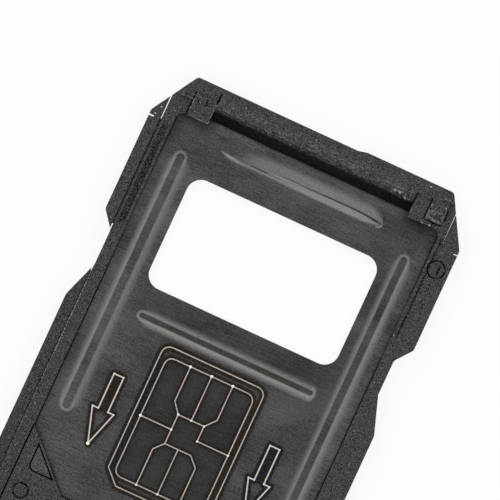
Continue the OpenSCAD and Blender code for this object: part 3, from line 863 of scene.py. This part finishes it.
dots = [(x + CHIP_X, y + CHIP_Y, r) for r, spots in JUNCTIONS.items() for x, y in spots]
for arrow_x in ARROWS_X:
    dots += [(x + arrow_x, y, TIP_DOT if x == 0 else CORNER_DOT) for x, y in arrow[:-1]]
print(len(dots), "dots")

# %% [markdown]
# The film is a fine grid over the signs. Each of its points stores how far the nearest line is,
# how far the rim of the nearest dot is, whether it lies inside the chip's sign, the tone of the
# coat under it, and whether the burnt halo is brown there or bluish. The parts of the grid that
# are far from any line, or over a pressing, are deleted. The material then draws the line, its
# dots and the scorched edge from these values.

# %% The film's grid
FILM_HEIGHT = 0.002
FILM_STEP = 0.022
FILM_MARGIN = 0.3
REACH = 0.45


def distance_to_strokes(points, strokes):
    nearest = np.full(len(points), 1e9)
    for a, b in strokes:
        run = b - a
        t = np.clip(((points - a) @ run) / max(run @ run, 1e-12), 0, 1)
        nearest = np.minimum(nearest, np.linalg.norm(points - (a + t[:, None] * run), axis=1))
    return nearest


strokes = [(np.array(a, float), np.array(b, float)) for path in paths for a, b in zip(path, path[1:])]
low = np.min([s[0] for s in strokes], axis=0) - FILM_MARGIN
high = np.max([s[0] for s in strokes], axis=0) + FILM_MARGIN
size = high - low
centre = (low + high) / 2
cells = [int(round(s / FILM_STEP)) for s in size]
film = bmesh.new()
bmesh.ops.create_grid(film, x_segments=cells[0], y_segments=cells[1], size=0.5)
bmesh.ops.scale(film, vec=(size[0], -size[1], 1), verts=film.verts)
bmesh.ops.translate(film, vec=(centre[0], centre[1], FILM_HEIGHT), verts=film.verts)
points = np.array([v.co.xy for v in film.verts])
print("grid of", cells[0], "by", cells[1], "squares")

# %% What the film stores
# Half the size of the chip's inner outline, and its middle's distance from the leading wall
CHIP_HALF = (1.49, 2.005)
CHIP_MIDDLE_Y = 9.165
# Inside an arrow's shaft no point counts as further from a line than this
SHAFT_GAP = 0.1
SHAFT_END = 9.6

x, y = points[:, 0], points[:, 1]
line_gap = distance_to_strokes(points, strokes)
for arrow_x in ARROWS_X:
    in_shaft = (np.abs(x - arrow_x) < SHAFT_HALF) & (y > SHAFT_START) & (y < SHAFT_END)
    line_gap = np.where(in_shaft, np.minimum(line_gap, SHAFT_GAP), line_gap)
dot_gap = np.min([np.hypot(x - dot_x, y - dot_y) - r for dot_x, dot_y, r in dots], axis=0)
in_chip = (np.abs(x - CHIP_X) < CHIP_HALF[0]) & (np.abs(y - CHIP_Y - CHIP_MIDDLE_Y) < CHIP_HALF[1])
# The halo is bluish between the chip's two outlines on the left, and round the right arrow
blue_band = soft(x, -1.95, -1.8) * soft(x, -1.5, -1.62) * soft(y, 7.3, 7.7)
browned = 1 - np.maximum(blue_band, soft(x, 1.9, 2.1))
store(film, {"line_gap": line_gap, "dot_gap": dot_gap, "in_chip": in_chip.astype(float),
             "coat_tone_and_painted_light": coat_tone_and_painted_light(points), "browned": browned})

sunk, _ = pressed_plate(points)
keep = (line_gap < REACH) & (sunk < FILM_HEIGHT)
bmesh.ops.delete(film, geom=[v for v, kept in zip(film.verts, keep) if not kept], context="VERTS")
to_tray(film)
bmesh.ops.recalc_face_normals(film, faces=film.faces)
film.faces.ensure_lookup_table()
if film.faces[0].normal.z < 0:
    bmesh.ops.reverse_faces(film, faces=film.faces)
laser_marks = add_mesh("laser_marks", film)
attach(laser_marks, "root")
print("film of", len(laser_marks.data.polygons), "squares")

# %% The scorched lines
BURNT_BLUE = (0.0055, 0.0065, 0.0095, 1)
BURNT_BROWN = (0.011, 0.009, 0.006, 1)
LINE_DARK = (0.46, 0.40, 0.35, 1)
LINE_LIGHT = (0.72, 0.65, 0.59, 1)
LINE_CLOUDED = (0.36, 0.30, 0.25, 1)
ARROW_LIGHT = (0.78, 0.73, 0.68, 1)
DOT_LIGHT = (0.88, 0.86, 0.83, 1)


def laser_marked(name):
    finish = Finish(name, STEEL)
    coat = Coat(finish)
    specks = coat.specks
    line_gap, in_chip = finish.stored("line_gap"), finish.stored("in_chip")
    # Grains make the lines ragged, and the arrows' lines are a little wider than the chip's
    wobble = (specks - 0.5) * 0.012
    across = finish.coordinate("X")
    in_arrow = across.step(-2.0, -2.2) + across.step(2.0, 2.2)
    line = (line_gap + wobble - in_arrow * 0.004).step(0.024, 0.006)
    dot = (finish.stored("dot_gap") + wobble).step(0.012, -0.012)
    scorch = (line_gap + wobble * 5 + in_chip * 0.03).step(0.17, 0.09)
    shade = line_gap.step(0.42, 0.12) * 0.15 + in_chip * 0.7
    # The ground is the coat under a dark veil, burnt brown or bluish close to the lines
    tint = finish.noise((0.9, 0.9, 0.9)) * 0.5 + finish.stored("browned") * 0.5
    burnt = finish.mix(tint.step(0.2, 0.75), BURNT_BLUE, BURNT_BROWN)
    burnt = finish.mix(specks.step(0.5, 0.75) * 0.6, burnt, grey(0.03))
    veil = finish.scaled(coat.colour, 1 - shade * 0.75)
    ground = finish.mix(scorch * 0.93, veil, burnt)
    pale = finish.mix(specks.step(0.35, 0.65), LINE_DARK, LINE_LIGHT)
    pale = finish.mix((1 - in_arrow) * coat.clouds.step(0.4, 0.6) * 0.35, pale, LINE_CLOUDED)
    pale = finish.mix(in_arrow * 0.5, pale, ARROW_LIGHT)
    drawn = finish.mix(line, ground, pale)
    finish.feed(
        Base_Color=finish.mix(dot, drawn, DOT_LIGHT),
        Metallic=METAL + scorch * (1 - METAL) - line * (1 - METAL) - line * 0.6,
        Roughness=STEEL_ROUGH + line * 0.25 + coat.brushed * 0.1,
        Normal=finish.bump(coat.relief, RELIEF_DEPTH),
    )
    return finish.material


marks_steel = laser_marked("laser_marked_steel")
laser_marks.data.materials.append(marks_steel)
print("made", marks_steel.name)

# %% [markdown]
# The tray lies on white. The floor is one wide sheet that glows for the camera and for
# reflections, at a strength near 1, and takes the rest of its brightness from the lamps, so that
# the soft shadow under the tray stays. For the light that it throws back it is plain white paper.

# %% The floor
GLOW = 0.88
DIM = (0.12, 0.12, 0.12, 1)
PAPER = (0.8, 0.8, 0.8, 1)
FLOOR_HALF = 3
FLOOR_Z = -0.01 * MM


def white_floor(name):
    material = bpy.data.materials.new(name)
    material.use_nodes = True
    tree = material.node_tree
    tree.nodes.clear()
    out = tree.nodes.new("ShaderNodeOutputMaterial")
    ray = tree.nodes.new("ShaderNodeLightPath")
    seen = tree.nodes.new("ShaderNodeMath")
    seen.operation = "MAXIMUM"
    glow = tree.nodes.new("ShaderNodeEmission")
    glow.inputs["Strength"].default_value = GLOW
    dim = tree.nodes.new("ShaderNodeBsdfDiffuse")
    dim.inputs["Color"].default_value = DIM
    paper = tree.nodes.new("ShaderNodeBsdfDiffuse")
    paper.inputs["Color"].default_value = PAPER
    both = tree.nodes.new("ShaderNodeAddShader")
    choice = tree.nodes.new("ShaderNodeMixShader")
    for source, target in (
        (ray.outputs["Is Camera Ray"], seen.inputs[0]),
        (ray.outputs["Is Glossy Ray"], seen.inputs[1]),
        (glow.outputs[0], both.inputs[0]),
        (dim.outputs[0], both.inputs[1]),
        (seen.outputs[0], choice.inputs[0]),
        (paper.outputs[0], choice.inputs[1]),
        (both.outputs[0], choice.inputs[2]),
        (choice.outputs[0], out.inputs["Surface"]),
    ):
        tree.links.new(source, target)
    return material


floor_mesh = bmesh.new()
bmesh.ops.create_grid(floor_mesh, x_segments=1, y_segments=1, size=FLOOR_HALF)
bmesh.ops.translate(floor_mesh, vec=(0, 0, FLOOR_Z), verts=floor_mesh.verts)
floor = add_mesh("floor", floor_mesh)
floor.data.materials.append(white_floor("white_paper"))
print("floor made")

# %% [markdown]
# A black part that lies flat on white is lit from one wide soft box above it, with the lens
# looking through. Flat faces then mirror the box and turn grey, while every steep face mirrors
# the dark tray beside it and stays black, which draws the form. Two weaker boxes at the sides
# keep the walls from sinking away in the other views. The world is white for the camera, and much
# dimmer as a light.

# %% The lamps and the world
LAMP_DISTANCE = 0.7
SKY_LIGHT = 0.2
SKY_SEEN = 1.0


def soft_box(name, azimuth, elevation, size, radiance):
    """A square lamp of this size in metres, aimed at the tray, that no camera ray sees."""
    lamp = bpy.data.lights.new(name, "AREA")
    lamp.shape = "SQUARE"
    lamp.size = size
    lamp.energy = radiance * math.pi * size ** 2
    lamp_object = add_object(name, lamp)
    a, e = math.radians(azimuth), math.radians(elevation)
    towards = Vector((math.cos(a) * math.cos(e), math.sin(a) * math.cos(e), math.sin(e)))
    lamp_object.location = towards * LAMP_DISTANCE
    lamp_object.rotation_euler = towards.to_track_quat("Z", "Y").to_euler()
    lamp_object.visible_camera = False
    print(name, round(lamp.energy, 3), "W")


soft_box("lamp_above", azimuth=90, elevation=84, size=1.0, radiance=1.6)
soft_box("lamp_left", azimuth=150, elevation=30, size=0.4, radiance=0.8)
soft_box("lamp_right", azimuth=30, elevation=30, size=0.4, radiance=0.7)

world = bpy.data.worlds.new("world")
bpy.context.scene.world = world
world.use_nodes = True
sky = world.node_tree.nodes["Background"]
sky_ray = world.node_tree.nodes.new("ShaderNodeLightPath")
sky_strength = world.node_tree.nodes.new("ShaderNodeMapRange")
sky_strength.inputs["To Min"].default_value = SKY_LIGHT
sky_strength.inputs["To Max"].default_value = SKY_SEEN
world.node_tree.links.new(sky_ray.outputs["Is Camera Ray"], sky_strength.inputs["Value"])
world.node_tree.links.new(sky_strength.outputs[0], sky.inputs["Strength"])
sky.inputs["Color"].default_value = (1, 1, 1, 1)
bpy.context.scene.view_settings.view_transform = "Standard"
print("world ready")
